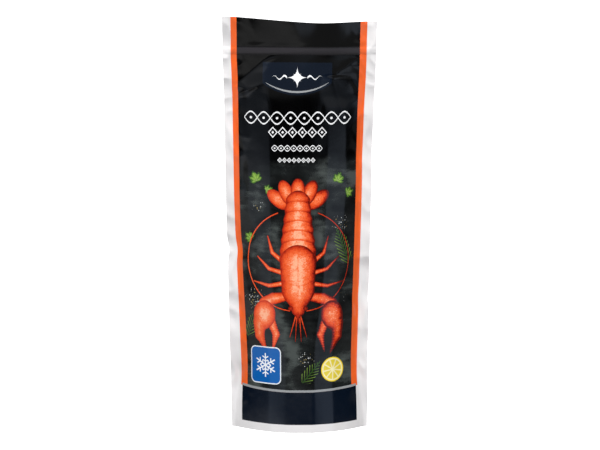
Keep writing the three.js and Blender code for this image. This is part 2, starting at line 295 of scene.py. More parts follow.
world = bpy.data.worlds.new("room")
world.use_nodes = True
room = Sheet(world.node_tree)
room_direction = room.node("ShaderNodeTexCoord", {}, {}).outputs["Generated"]
toward_right, _, rise = room.split(room_direction)
black_belt = room.smooth(rise, BELT_TOP, BELT_TOP_BLACK)
black_belt *= room.smooth(rise, BELT_FOOT, BELT_FOOT_BLACK)
skirting = room.smooth(rise, SKIRTING_FOOT, SKIRTING_FADE)
skirting *= room.smooth(rise, BELT_FOOT_BLACK, BELT_FOOT)
skirting *= room.smooth(toward_right, SKIRTING_RIGHT, SKIRTING_LEFT)
ceiling = room.smooth(rise, CEILING_START, CEILING_FULL)
walls = (1 - black_belt) * DIM_WALLS + skirting * SKIRTING_GLOW + ceiling * CEILING_GLOW
seen_in_gloss = Number(room, room.node("ShaderNodeLightPath", {}, {}).outputs["Is Glossy Ray"])
strength = room.blend(seen_in_gloss, ROOM_LIGHT, walls)
room.feed(world.node_tree.nodes["Background"].inputs["Color"], (1, 1, 1, 1))
room.feed(world.node_tree.nodes["Background"].inputs["Strength"], strength)
bpy.context.scene.world = world
print("room light:", ROOM_LIGHT, "with dim walls in the gloss of", DIM_WALLS)

# %% [markdown]
# ## The shape of the filled pouch
# Film bends but hardly stretches, so across the pouch it keeps its flat length. Between the
# side welds it bows out as a curve whose length stays the same and whose depth grows towards
# the foot, and the welds move closer together as it does. Film over a lumpy filling also doesn't
# bend evenly: it stays nearly flat in long upright facets and turns at the bends between them,
# and each flat facet mirrors a strip light as one even streak with sharp edges. The functions
# here work that out for any point of the flat film.


# %% The belly
BELLY = [
    (0, FOOT_DEPTH), (50, 23.5), (114, 20), (150, 18.5), (204, 16),
    (249, 14), (278, 11.9), (300, 9.7), (318, 5.2), (BAND_LOW, 0),
]


def ease(start, stop, at):
    """Rises smoothly from 0 at start to 1 at stop, which may be the lower of the two."""
    t = min(1, max(0, (at - start) / (stop - start)))
    return t * t * (3 - 2 * t)


def belly_depth(v):
    """How far the middle of the film stands out of the weld plane at a height, in mm."""
    if v >= BAND_LOW:
        return 0
    n = 0
    while n < len(BELLY) - 2 and v > BELLY[n + 1][0]:
        n += 1

    def slope(k):
        before, after = BELLY[max(0, k - 1)], BELLY[min(len(BELLY) - 1, k + 1)]
        return (after[1] - before[1]) / (after[0] - before[0])

    (low, low_depth), (high, high_depth) = BELLY[n], BELLY[n + 1]
    span = high - low
    t = (v - low) / span
    low_part = (1 + 2 * t) * (1 - t) ** 2 * low_depth + t * (1 - t) ** 2 * span * slope(n)
    high_part = t * t * (3 - 2 * t) * high_depth + t * t * (t - 1) * span * slope(n + 1)
    return max(0, low_part + high_part)


print("belly depth by height:", {v: round(belly_depth(v), 1) for v in (0, 100, 200, 300, 334)})

# %% Bends between the upright facets
# Each bend is a line up the film: its height, its distance from the middle, both in mm, and its
# share of the turn. A bend with no share left has run out.
LEFT_BENDS = [
    [(62, 10.5, 0.44), (150, 25, 0.60), (285, 25, 0.60), (303, 28, 0.9), (318, 31, 1.0),
     (326, 27, 1.0), (334, 16, 1.0)],
    [(62, 26, 0.34), (150, 53, 0.40), (285, 53, 0.40), (303, 52, 0.1), (318, 45, 0)],
    [(62, 44, 0.22), (150, 56, 0)],
]
RIGHT_BENDS = [
    [(62, 12, 0.44), (150, 23, 0.62), (285, 25, 0.62), (300, 20, 1.0), (312, 20, 1.0), (318, 20, 0)],
    [(62, 31, 0.33), (150, 42, 0.38), (250, 44, 0.38), (285, 39.5, 0.38), (302, 33, 0.0),
     (313, 29.5, 0.0), (319, 33, 1.0), (325, 42.5, 1.0), (332, 53, 1.0)],
    [(62, 47, 0.23), (150, 55, 0)],
]
BEND_HALF_WIDTH = 2.6
# How sharply the film turns at its bends: 0 is an even arc, and 1 is flat between the bends
BODY_SHARPNESS, FOOT_SHARPNESS, SHOULDER_SHARPNESS = 0.5, 0.72, 0.85
FOOT_ZONE, SHOULDER_ZONE = (120, 50), (240, 305)


def bends(side, v):
    """The bends on one side of the middle at a height, as places and shares of the turn."""
    for marks in LEFT_BENDS if side < 0 else RIGHT_BENDS:
        low = high = marks[0]
        for mark in marks:
            low, high = high, mark
            if v <= mark[0]:
                break
        t = ease(low[0], high[0], v) if low[0] < high[0] else 1
        yield low[1] + (high[1] - low[1]) * t, low[2] + (high[2] - low[2]) * t


# %% Across the film
STEP = 0.5
STEPS = math.ceil(HALF_WIDTH / STEP)
TURN_PASSES = 7
# Close to where the two films part, each turns back within its peel and lies flat
PEEL, FOOT_PEEL, CORNER_PEEL = 4.5, 1.5, 2
SPLAY, SPLAY_TOP = 6.5, 70
CORNER_LOW, CORNER_REACH = 306, 25.5
CORNER_ZONE = (CORNER_LOW - 10, CORNER_LOW + 4)


def half_panel(side, v):
    """Where the two films part, from the middle. Near the foot it is almost at the corners, and
    in the upper left corner they lie flat together past a slanting line."""
    in_corner = min(1, max(0, (v - CORNER_LOW) / (BAND_LOW - CORNER_LOW))) if side < 0 else 0
    return HALF_PANEL + SPLAY * ease(SPLAY_TOP, 0, v) - (HALF_PANEL - CORNER_REACH) * in_corner


def turn_shares(side, v):
    """How far the film has turned at each step from its middle, as a share of its most."""
    shares = []
    places = list(bends(side, v))
    reach = half_panel(side, v)
    sharpness = BODY_SHARPNESS + (SHOULDER_SHARPNESS - BODY_SHARPNESS) * ease(*SHOULDER_ZONE, v)
    sharpness += (FOOT_SHARPNESS - BODY_SHARPNESS) * ease(*FOOT_ZONE, v)
    peel = PEEL + (FOOT_PEEL - PEEL) * ease(SPLAY_TOP, 0, v)
    if side < 0:
        peel += (CORNER_PEEL - PEEL) * ease(*CORNER_ZONE, v)
    for n in range(STEPS + 1):
        s = min(n * STEP, reach)
        even = s / reach
        bent = sum(share * ease(at - BEND_HALF_WIDTH, at + BEND_HALF_WIDTH, s) for at, share in places)
        shares.append((even + sharpness * (bent - even)) * ease(reach, reach - peel, s))
    return shares


def across(side, v):
    """Two lists, step by step from the middle: how far sideways the film is, and how far out.
    The film keeps its length. Its most turn is set in a few passes, so that it comes down to the
    weld plane where the films part."""
    shares = turn_shares(side, v)
    reach = sum(shares) * STEP
    depth = belly_depth(v)
    most = depth / reach
    for _ in range(TURN_PASSES):
        fall = sum(math.sin(most * share) for share in shares) * STEP
        most += (depth - fall) / reach
    sideways, out = [0], [depth]
    for n in range(STEPS):
        turn = most * (shares[n] + shares[n + 1]) / 2
        sideways.append(sideways[-1] + STEP * math.cos(turn))
        out.append(out[-1] - STEP * math.sin(turn))
    return sideways, out


def at_step(values, distance):
    """A value between the two steps next to a distance from the middle."""
    steps = distance / STEP
    n = min(STEPS - 1, int(steps))
    return values[n] + (values[n + 1] - values[n]) * (steps - n)


foot_half_width = at_step(across(1, 0)[0], HALF_WIDTH)
print("half width at the foot:", round(foot_half_width, 1), "mm of", HALF_WIDTH)


# %% Creases
RIPPLES = 9
FOLD_INSIDE, FROM_RIM, FROM_BAND = 7, 12, 5
BAND_HOLD = 0.85
WOBBLE, WOBBLE_ACROSS, WOBBLE_UP, WOBBLE_SLICE = 0.35, 26, 44, 27


def crease(points, widths, height, edge=1.2):
    """A fold along (u, v) points. Its widths are to the left and to the right of its run, or one
    for both. It sinks in where the height is negative."""
    if not isinstance(widths, tuple):
        widths = (widths, widths)
    lengths = [math.dist(points[n], points[n + 1]) for n in range(len(points) - 1)]
    spread = 4 * max(widths)
    low = [min(point[k] for point in points) - spread for k in (0, 1)]
    high = [max(point[k] for point in points) + spread for k in (0, 1)]
    return {"points": points, "lengths": lengths, "low": low, "high": high,
            "widths": widths, "height": height, "edge": edge}


def crease_height(fold, u, v):
    """How far one fold lifts a point. It is a ridge with a nearly straight fall to each side."""
    low, high = fold["low"], fold["high"]
    if not (low[0] < u < high[0] and low[1] < v < high[1]):
        return 0
    nearest, place, passed, on_right = math.inf, 0, 0, False
    for n, length in enumerate(fold["lengths"]):
        (u0, v0), (u1, v1) = fold["points"][n], fold["points"][n + 1]
        share = ((u - u0) * (u1 - u0) + (v - v0) * (v1 - v0)) / length**2
        share = min(1, max(0, share))
        distance = math.hypot(u - u0 - share * (u1 - u0), v - v0 - share * (v1 - v0))
        if distance < nearest:
            nearest, place = distance, passed + share * length
            on_right = (u1 - u0) * (v - v0) < (v1 - v0) * (u - u0)
        passed += length
    edge, width = fold["edge"], fold["widths"][on_right]
    fade = math.sin(math.pi * place / passed) ** 0.6 if 0 < place < passed else 0
    return fold["height"] * fade * math.exp((edge - math.hypot(nearest, edge)) / width)


def weld_ripples(side, first, pitch):
    """Short ripples that run inwards from a side weld, which the belly draws in unevenly."""
    folds = []
    for n in range(RIPPLES):
        v = first + pitch * n + 5 * math.sin(2.4 * n + first)
        reach = 13 + 6 * math.sin(1.7 * n + pitch)
        stop = (side * (HALF_PANEL - reach), v + 9 * math.cos(1.9 * n))
        start = (side * (HALF_PANEL + 6), v)
        folds.append(crease([start, stop], 3, 0.55 + 0.3 * math.sin(3.1 * n)))
    return folds


def kinked_ridge(side, rise):
    """A sharp ridge from a corner of the band inwards, and on down along the edge of the belly."""
    places = [(53, 332), (42.5, 325), (33, 319), (29.5, 313), (31.5, 308), (35, 297), (40, 282)]
    return [
        crease([(side * u, v + rise) for u, v in places], (3, 1.8)[::side], 0.55, 0.6),
        crease([(side * 24, 312), (side * 19, 276)], 7, -0.4),
    ]


def slanted_ridge(side, rise):
    """A slanting ridge below a corner of the band, steep below and long above."""
    points = [(side * 58, 297), (side * 43, 305.2), (side * 29, 311.4 - rise)]
    return [crease(points, (1.6, 3.4)[::side], 0.9, 0.5)]


def belly_folds(side, lean):
    """Long soft folds on the belly, a little inside each weld."""
    return [
        crease([(side * 47, 250), (side * (43 + lean), 180)], 7, 0.4, 2.5),
        crease([(side * 30, 196), (side * (26 - lean), 120)], 8, -0.35, 2.5),
        crease([(side * 44, 128), (side * (39 + lean), 60)], 7, 0.4, 2.5),
    ]


FRONT_FOLDS = (
    slanted_ridge(-1, 0) + kinked_ridge(1, 0) + weld_ripples(-1, 24, 31) + weld_ripples(1, 38, 29)
    + belly_folds(-1, 2) + belly_folds(1, -3)
)
BACK_FOLDS = (
    kinked_ridge(-1, 3) + slanted_ridge(1, 4) + weld_ripples(-1, 33, 30) + weld_ripples(1, 21, 32)
    + belly_folds(-1, -2) + belly_folds(1, 3)
)
# Folds of the header, where both films lie together and bend as one
HEADER_FOLDS = [
    crease([(-46, 372), (-38, 343)], 7, 0.6),
    crease([(-8, 372), (3, 340)], 8, -0.4),
    crease([(12, 368), (34, 344)], 6, 0.4),
    crease([(44, 372), (60, 352), (52, 340)], 5, 0.7),
]


def creases(folds, u, v):
    """All the folds and a faint wobble. They fade out at the welds, the rim and the band."""
    inside = ease(HALF_WIDTH, HALF_PANEL - FOLD_INSIDE, abs(u)) * ease(0, FROM_RIM, v)
    at_band = ease(BAND_LOW - FROM_BAND, BAND_LOW, v) * ease(BAND_HIGH + FROM_BAND, BAND_HIGH, v)
    wobble = WOBBLE * noise.noise((u / WOBBLE_ACROSS, v / WOBBLE_UP, WOBBLE_SLICE))
    height = wobble + sum(crease_height(fold, u, v) for fold in folds)
    return inside * (1 - BAND_HOLD * at_band) * height


print("folds on the front:", len(FRONT_FOLDS), "and on the back:", len(BACK_FOLDS))

# %% Weld plane, height and sway
CURL, CURL_FOOT, CURL_MIDDLE, CURL_REACH = 9.4, 285, 24, 26
LEAN = 2.0
GATHER, BOW, DIP = 0.005, 0.9, 2.4
# Side, height, half the height of the fold, and how far it draws the edge in
PINCHES = [(-1, 160, 8, 1.8), (1, 118, 9, 0.8), (1, 243, 12, 0.5)]
PINCH_INSIDE = 25
# Height, length, and where the wave starts on the left and on the right
WAVES = [(1.1, 132, 0, 2.1), (0.8, 60, 3, 0.4)]
WAVE_INSIDE, WAVE_FROM_FOOT = 20, 40
CRUMPLE, CRUMPLE_ACROSS, CRUMPLE_UP, CRUMPLE_SLICE = 3.1, 13, 19, 3.7
BAND_PROUD, BAND_ROUNDNESS = 0.45, 0.7


def plane(x, v):
    """Where the weld plane lies: the header curls forward and the side welds wave a little."""
    rise = max(0, (v - CURL_FOOT) / (FILM_HEIGHT - CURL_FOOT))
    curl = (CURL * math.exp(-(((x - CURL_MIDDLE) / CURL_REACH) ** 2)) + LEAN) * rise**2
    side = ease(HALF_PANEL - WAVE_INSIDE, HALF_WIDTH, abs(x)) * ease(0, WAVE_FROM_FOOT, v)
    wave = sum(height * math.sin(math.tau * v / length + (right if x > 0 else left))
               for height, length, left, right in WAVES)
    ruffle = noise.noise((x / CRUMPLE_ACROSS, (v + x / 2) / CRUMPLE_UP, CRUMPLE_SLICE))
    folded = sum(crease_height(fold, x, v) for fold in HEADER_FOLDS)
    in_header = ease(BAND_HIGH, BAND_HIGH + FROM_BAND, v)
    return side * (wave + CRUMPLE * abs(ruffle)) - curl - in_header * folded


def upward(x, v):
    """The height of a point: the curl lowers the middle of the header, and a corner droops."""
    dip = DIP * math.cos(math.pi * x / FILM_WIDTH) ** 2 * ease(BAND_LOW, FILM_HEIGHT, v)
    droop = DROOP * (x / FILM_WIDTH) * ease(BAND_HIGH, FILM_HEIGHT, v)
    return v - dip - droop


def rightward(x, v):
    """The band gathers the film a little, folds pinch its edges, and the pouch bows to the left."""
    gathered = x * (1 - GATHER * ease(FILM_HEIGHT, BAND_HIGH, v))
    for side, middle, half_height, depth in PINCHES:
        near_edge = ease(HALF_PANEL - PINCH_INSIDE, HALF_WIDTH, side * x)
        gathered -= side * depth * near_edge * math.exp(-(((v - middle) / half_height) ** 2))
    return gathered - BOW * math.sin(math.pi * v / FILM_HEIGHT)


def band_proud(v):
    """The welded band stands out of the film as one low rounded bead."""
    t = (v - BAND_LOW) / (BAND_HIGH - BAND_LOW)
    return BAND_PROUD * math.sin(math.pi * t) ** BAND_ROUNDNESS if 0 < t < 1 else 0


# %% [markdown]
# ## The two tall films
# Each is a grid primitive as fine as the smallest fold, with closer rows at the welded band.
# Every corner of the grid is moved to where the shape functions put it, its flat place is kept
# as a UV map for the print, and a Solidify modifier gives the film its thickness on the inside.

# %% Places on a film
COLUMNS = round(FILM_WIDTH)
ROW_MARKS = [(0, 0), (160, 280), (225, 330), (257, 346), (269, FILM_HEIGHT)]
ROWS = ROW_MARKS[-1][0]
PRINT_SPAN = 400
FILM_THICKNESS = 0.22
SMOOTH_BELOW = math.radians(50)


def row_height(row):
    """Where a row of the grid lies on the flat film. Rows are closer together at the band."""
    for (low_row, low), (high_row, high) in zip(ROW_MARKS, ROW_MARKS[1:]):
        if row <= high_row:
            return low + (high - low) * (row - low_row) / (high_row - low_row)


def section(facing, v):
    """Both sides of the film at a height, by the side that a viewer of that film sees."""
    return {side: across(side * -facing, v) for side in (-1, 1)}


def film_place(facing, folds, sides, u, v):
    """Where a point of a film goes, in mm. The front faces -1, and u is as its viewer sees it."""
    side = -1 if u < 0 else 1
    sideways, out = sides[side]
    x = side * at_step(sideways, abs(u)) * -facing
    relief = creases(folds, u, v) + band_proud(v)
    edge_x = -facing * u
    y = plane(edge_x, v) + facing * (WELD_HALF + max(0, at_step(out, abs(u))) + relief)
    return Vector((rightward(x, v), y, upward(edge_x, v)))


# %% Model the two tall films
def add_grid(name, columns, rows, size):
    """Adds a flat grid of four-sided faces, to be bent into a film."""
    bpy.ops.object.select_all(action="DESELECT")
    bpy.ops.mesh.primitive_grid_add(x_subdivisions=columns, y_subdivisions=rows, size=size)
    film = bpy.context.object
    film.name = film.data.name = name
    return film


def thicken(film):
    """Gives a film its thickness, on the side that its faces turn away from."""
    wall = film.modifiers.new("wall", "SOLIDIFY")
    wall.thickness = FILM_THICKNESS * MM
    wall.offset = -1
    bpy.ops.object.modifier_apply(modifier=wall.name)
    bpy.ops.object.shade_smooth_by_angle(angle=SMOOTH_BELOW)
    print(film.name, "has", len(film.data.polygons), "faces")


def tall_film(name, facing, folds):
    film = add_grid(name, COLUMNS, ROWS, 1)
    sections = [section(facing, row_height(row)) for row in range(ROWS + 1)]
    flat = {}
    for corner in film.data.vertices:
        u = corner.co.x * FILM_WIDTH
        row = round((corner.co.y + 0.5) * ROWS)
        v = row_height(row)
        flat[corner.index] = (u / PRINT_SPAN + 0.5, v / PRINT_SPAN)
        corner.co = film_place(facing, folds, sections[row], u, v) * MM
    print_map = film.data.uv_layers[0]
    print_map.name = "print"
    for loop in film.data.loops:
        print_map.data[loop.index].uv = flat[loop.vertex_index]
    thicken(film)
    return film


front_film = tall_film("front_film", -1, FRONT_FOLDS)
back_film = tall_film("back_film", 1, BACK_FOLDS)

# %% [markdown]
# ## The foot film
# The third film closes the pouch from below. It is welded inside the foot of both tall films,
# rises steeply from the rim they stand on, and spans the foot as a shallow arch with the line of
# its old fold along the middle. It is a grid too, with its rows closer together at the rim, so
# that the steep rise is smooth.

# %% Model the foot film
FOOT_COLUMNS, FOOT_ROWS = 96, 40
FOOT_LIFT, FOOT_REACH = 4.2, 4.5
FOOT_FOLD, FOOT_FOLD_WIDTH, FOOT_FOLD_ROOM = 0.9, 2.2, 12
FOOT_INSET, FOOT_CLEAR = 1, 0.12
foot_section = section(-1, 0)


def foot_place(share_across, share_deep):
    """A point of the foot film, from its shares (-1 to 1) of the width and of the depth."""
    u = share_across * (half_panel(1, 0) - FOOT_INSET)
    side = -1 if u < 0 else 1
    sideways, out = foot_section[side]
    half_gap = WELD_HALF + at_step(out, abs(u)) - FILM_THICKNESS
    y = half_gap * math.sin(math.pi / 2 * share_deep)
    from_rim = half_gap - abs(y)
    lift = FOOT_LIFT * ease(0, FOOT_REACH, from_rim)
    fold = FOOT_FOLD * math.exp(-((y / FOOT_FOLD_WIDTH) ** 2)) * ease(0, FOOT_FOLD_ROOM, half_gap)
    x = rightward(side * at_step(sideways, abs(u)), 0)
    return Vector((x, y, FOOT_CLEAR + lift + fold)) * MM


foot_film = add_grid("foot_film", FOOT_COLUMNS, FOOT_ROWS, 2)
for corner in foot_film.data.vertices:
    corner.co = foot_place(corner.co.x, corner.co.y)
bpy.ops.object.mode_set(mode="EDIT")
bpy.ops.mesh.select_all(action="SELECT")
bpy.ops.mesh.flip_normals()
bpy.ops.object.mode_set(mode="OBJECT")
thicken(foot_film)

# %% [markdown]
# ## Drawing on the film
# The print is drawn like a paper cut-out. Each shape is a distance in millimetres: below zero
# is inside it and above zero is outside, so a shape's edge stays sharp however close one looks.
# The smaller of two distances joins two shapes, the larger keeps what they share, and a colour is
# then painted over the last one wherever the distance is below zero.

# %% Shapes as distances
EDGE = 0.28


class Print(Sheet):
    """A drawing on a flat film. Places are (u, v) in mm, and shapes are distances."""

    def __init__(self, name):
        self.material, self.shader = new_material(name)
        super().__init__(self.material.node_tree)
        flat = self.node("ShaderNodeUVMap", {"uv_map": "print"}, {}).outputs["UV"]
        to_mm = (PRINT_SPAN, PRINT_SPAN, 0)
        self.place = self.vector("MULTIPLY_ADD", flat, to_mm, (-PRINT_SPAN / 2, 0, 0))
        self.u, self.v, _ = self.split(self.place)

    def inside(self, distance, edge=EDGE):
        """1 inside a shape and 0 outside it, with an edge as soft as asked."""
        return self.math("MULTIPLY_ADD", distance, -1 / edge, 0.5, clamp=True)

    def lay(self, below, distance, colour, edge=EDGE):
        """Lays a colour over what is below, inside a shape."""
        return self.paint(self.inside(distance, edge), below, colour)

    def both(self, *distances):
        """What shapes share."""
        return reduce(lambda first, other: self.math("MAXIMUM", first, other), distances)

    def either(self, *distances):
        """Shapes joined."""
        return self.joined(distances)

    def joined(self, distances):
        """Shapes joined one by one, each as soon as it is drawn, so that few of them wait."""
        return reduce(lambda first, other: self.math("MINIMUM", first, other), distances)

    def melted(self, first, second, softness):
        """Two shapes joined, with the corner between them filled."""
        return self.math("SMOOTH_MIN", first, second, softness)

    def disc(self, centre, radius, place=None):
        return self.measure("DISTANCE", place or self.place, (*centre, 0)) - radius

    def oval(self, centre, radii, turn=0, place=None):
        round_place = self.turned(place or self.place, centre, turn, radii)
        return (self.measure("LENGTH", round_place) - 1) * min(radii)

    def limb(self, start, stop, start_radius, stop_radius, place=None):
        """A rod from one place to another, which may taper."""
        along = Vector(stop) - Vector(start)
        reach = self.vector("SUBTRACT", place or self.place, (*start, 0))
        aim = (*(along / along.length_squared), 0)
        share = self.math("ADD", self.measure("DOT_PRODUCT", reach, aim), 0, clamp=True)
        nearest = self.vector("MULTIPLY", self.join(share, share), (*along, 0))
        swell = self.math("MULTIPLY_ADD", share, stop_radius - start_radius, start_radius)
        return self.measure("DISTANCE", reach, nearest) - swell

    def box(self, left, right, low, high):
        middle, half = (left + right) / 2, (right - left) / 2
        level, rise = (low + high) / 2, (high - low) / 2
        return self.both(abs(self.u - middle) - half, abs(self.v - level) - rise)

    def soft_box(self, centre, half_sides, corner):
        """A box with round corners."""
        past = self.vector("ABSOLUTE", self.vector("SUBTRACT", self.place, (*centre, 0)))
        past = self.vector("SUBTRACT", past, (half_sides[0] - corner, half_sides[1] - corner, 0))
        return self.measure("LENGTH", self.vector("MAXIMUM", past, (0, 0, 0))) - corner

    def noise(self, size, detail=2, place=None):
        """Cloudy noise from 0 to 1, with clouds of a size in mm."""
        sockets = {"Vector": place or self.place, "Scale": 1 / size, "Detail": detail}
        return self.number("ShaderNodeTexNoise", {"noise_dimensions": "2D"}, sockets)

    def folded(self, centre, wedge, turn=0):
        """A place mirrored into one wedge round a centre, as along and aside distances."""
        across, up, _ = self.split(self.vector("SUBTRACT", self.place, (*centre, 0)))
        angle = self.math("ARCTAN2", up, across) + turn
        angle = self.math("PINGPONG", angle, wedge)
        reach = self.measure("LENGTH", self.join(across, up))
        return reach * self.math("COSINE", angle), reach * self.math("SINE", angle)

    def colours(self, value, stops):
        """A colour ramp from (place, colour) stops."""
        ramp = self.node("ShaderNodeValToRGB", {}, {0: value})
        for n, (at, colour) in enumerate(stops):
            stop = ramp.color_ramp.elements[n] if n < 2 else ramp.color_ramp.elements.new(at)
            stop.position, stop.color = at, colour
        return ramp.outputs[0]


print("edge of a printed shape:", EDGE, "mm")

# %% [markdown]
# ## Fields of colour
# The ground of the print is a few plain fields. White shows at both sides and along the foot,
# with an orange stripe inside each side. Between the stripes the black of the top goes over into
# a dark slate. A thin silver line and a navy band cross the foot. The welded band near the top is
# painted a lighter grey, brightest along its middle, as a painted sheen on its bead.

# %% The ground
WHITE = ink(229, 226, 225)
ORANGE = ink(238, 99, 44)
BLACK = ink(4, 4, 5)
# Painted sheen: the lighter grey laid along the welded band
BAND_SHEEN_GREY = ink(50, 48, 51)
NAVY = ink(15, 24, 36)
SILVER = ink(150, 152, 153)
SLATE_DARK, SLATE_MID, SLATE_PALE = ink(13, 15, 16), ink(36, 39, 39), ink(74, 79, 77)
LEFT_STRIPE, RIGHT_STRIPE = (-60.4, -55.1), (53.3, 59.3)
LEFT_STRIPE_DRAWN_IN, RIGHT_STRIPE_DRAWN_IN = (2.5, 4.5), (-2.2, -1.1)
DRAWN_IN_FROM, DRAWN_IN_BY = 215, 45
FOOT_BAND_HALF = 56.5
SKIRT_TOP, LINE_LOW, LINE_HIGH = 7.3, 36.4, 38.4
LINE_SMILE = 1.8
SLATE_TOP = 240


def slate(sheet):
    """Split slate: broad cloudy patches, fine grain and faint slanting layers."""
    layers = sheet.node("ShaderNodeMapping", {"vector_type": "POINT"}, {
        "Vector": sheet.place, "Rotation": (0, 0, math.radians(24)), "Scale": (0.35, 1, 1)})
    clouds = sheet.noise(30, 2) + sheet.noise(5, 4, layers.outputs[0]) * 0.4
    grain = sheet.noise(0.9, 2) * 0.2
    stops = [(0.52, SLATE_DARK), (0.82, SLATE_MID), (1.0, SLATE_PALE)]
    return sheet.colours(clouds + grain, stops)


def ground(sheet, shadow=None):
    """All the fields, and a painted sheen along the welded band. A shadow from 0 to 1 darkens the
    slate. The silver line bows up a little.
    """
    edge = sheet.noise(14, 3) * 16 - 8
    fade = sheet.smooth(sheet.v + edge + sheet.u * -0.12, SLATE_TOP + 7, SLATE_TOP - 9)
    stone = slate(sheet)
    if shadow:
        stone = sheet.paint(shadow, stone, BLACK)
    middle = sheet.paint(fade, BLACK, stone)
    # Painted sheen: the welded band turns a lighter grey, brightest along its middle
    band_sheen = sheet.smooth(abs(sheet.v - BAND_MIDDLE), BAND_HALF + 1.1, 1.6)
    middle = sheet.paint(band_sheen, middle, BAND_SHEEN_GREY)
    drawn_in = sheet.smooth(sheet.v, DRAWN_IN_FROM, DRAWN_IN_BY)
    bow = sheet.u * sheet.u * (LINE_SMILE / FOOT_BAND_HALF**2)
    level = sheet.v - bow

    def between(n):
        """Between the stripes' outer edges where n is 0, or their inner edges where it is 1."""
        left = drawn_in * LEFT_STRIPE_DRAWN_IN[n] + LEFT_STRIPE[n] - sheet.u
        right = sheet.u - (drawn_in * RIGHT_STRIPE_DRAWN_IN[1 - n] + RIGHT_STRIPE[1 - n])
        return sheet.both(left, right, LINE_LOW - level)

    colour = sheet.lay(ORANGE, between(1), middle)
    colour = sheet.lay(WHITE, between(0), colour)
    sides = abs(sheet.u) - FOOT_BAND_HALF
    band = sheet.both(sides, SKIRT_TOP - sheet.v, level - LINE_LOW)
    line = sheet.both(sides, LINE_LOW - level, level - LINE_HIGH)
    return sheet.lay(sheet.lay(colour, band, NAVY), line, SILVER)


print("slate from", LINE_HIGH, "to about", SLATE_TOP, "mm up the film")

# %% [markdown]
# ## The lobster
# A cooked lobster seen from above, head down, is the same on both sides, so it is drawn on one
# side of a middle line and mirrored. Rods and ovals make the legs, claws, tail fan, tail and
# back. Each layer hides the one below and is dark at its rim and pale along its middle, and that
# one number then picks the colour.

# %% The lobster's measures
LOBSTER_MIDDLE = -0.5
HIP_TOP, HIP_PITCH, HIP_OUT = 151, 8.5, 11
THIGH, SHIN = 15.5, 15
TAIL_TOP, TAIL_FOOT = 206, 156
PLATE_PITCH = 8.6
FAN_MIDDLE, FAN_HALF = 216, 11
CLAW_TIP = 71
LOBSTER_SHADES = [
    (0.0, ink(92, 16, 8)), (0.13, ink(184, 46, 20)), (0.36, ink(232, 82, 36)),
    (0.72, ink(246, 116, 66)), (1.0, ink(252, 176, 138)),
]
LOBSTER_SPECK = ink(252, 206, 182)


def lobster_legs(sheet, place):
    for n in range(4):
        hip = (HIP_OUT, HIP_TOP - HIP_PITCH * n)
        lean = math.radians(40 - 25 * n)
        knee = (hip[0] + THIGH * math.cos(lean), hip[1] + THIGH * math.sin(lean))
        bend = lean + math.radians(34 - 6 * n)
        foot = (knee[0] + SHIN * math.cos(bend), knee[1] + SHIN * math.sin(bend))
        yield sheet.limb(hip, knee, 2.3, 1.7, place)
        yield sheet.limb(knee, foot, 1.7, 0.5, place)


def lobster_feelers(sheet, place):
    """Two long feelers swept back beside the legs, and two short ones in front."""
    long_one = sheet.both(abs(sheet.disc((2, 154), 45, place)) - 0.55,
                          sheet.measure("DOT_PRODUCT", place, (-1, 0.12, 0)) - 6)
    short_one = sheet.either(sheet.limb((2.4, 104), (7.5, 86), 0.7, 0.25, place),
                             sheet.limb((1.4, 103), (2.6, 82), 0.6, 0.2, place))
    return sheet.either(long_one, short_one)


def lobster_fan(sheet, place):
    outer = sheet.oval((17.5, 208), (6.2, 12), -50, place)
    inner = sheet.oval((10, 214), (6.2, 12), -24, place)
    middle = sheet.oval((0, FAN_MIDDLE), (6.4, FAN_HALF), 0, place)
    return outer, inner, middle


def lobster_claw(sheet, place):
    """The arm, the two fingers and the palm of a claw."""
    arm = sheet.either(sheet.limb((11, 122), (22, 120), 3.8, 5.2, place),
                       sheet.limb((23, 120), (30, 115), 4.6, 6.0, place))
    teeth = sheet.math("PINGPONG", sheet.v, 1.1) * 0.5
    thumb = sheet.melted(sheet.limb((24.5, 99), (20, 88), 4.6, 3.4, place),
                         sheet.limb((20, 88), (23.5, 73), 3.6, 0.7, place), 2) + teeth
    palm = sheet.oval((31, 105), (10.5, 13), 8, place)
    finger = sheet.melted(palm, sheet.limb((36, 97), (36, 86), 6.2, 4.8, place), 3)
    tip = sheet.limb((35.6, 86), (29, CLAW_TIP), 4.6, 0.8, place) + teeth
    return arm, thumb, sheet.melted(finger, tip, 2)


def lobster_tail(sheet, place, across, up):
    """Overlapping plates. Returns the shape and how bright each plate is along its length."""
    plate = (up + across * across * 0.018) / PLATE_PITCH
    turn = sheet.math("FRACT", plate)
    bulge = sheet.math("PINGPONG", plate, 0.5)
    shape = sheet.limb((0, TAIL_TOP), (0, TAIL_FOOT), 10, 16, place) - bulge * 2
    return shape, sheet.smooth(turn, 0.02, 0.3) * 0.55 + 0.45


def lobster_back(sheet, place):
    chest = sheet.limb((0, 152), (0, 128), 16, 14.4, place)
    head = sheet.limb((0, 126), (0, 110), 12.6, 5.8, place)
    beak = sheet.limb((0, 111), (0, 98), 2.8, 0.4, place)
    return sheet.melted(sheet.melted(chest, head, 4), beak, 2)


def lobster_layers(sheet, place, aside):
    """From the lowest up: each layer's distance, the width of its dark rim, and its brightness."""
    yield lobster_feelers(sheet, place), 0.9, 0.6
    yield sheet.joined(lobster_legs(sheet, place)), 2.0, 0.72
    yield from zip(lobster_fan(sheet, place), (4.5, 4.5, 5), (0.7, 0.75, 0.8))
    yield from zip(lobster_claw(sheet, place), (4.6, 3.4, 7.5), (0.75, 0.7, 0.85))
    tail, plates = lobster_tail(sheet, place, aside, sheet.v)
    yield tail, 11.5, plates
    back = lobster_back(sheet, place)
    groove = abs(sheet.disc((0, 156), 24, place)) - 0.35
    keel = aside - 0.3
    yield back, 12.5, sheet.inside(sheet.either(groove, keel), 0.9) * -0.35 + 1
    yield sheet.disc((6.6, 111.5), 2.1, place), 2.0, 0.1


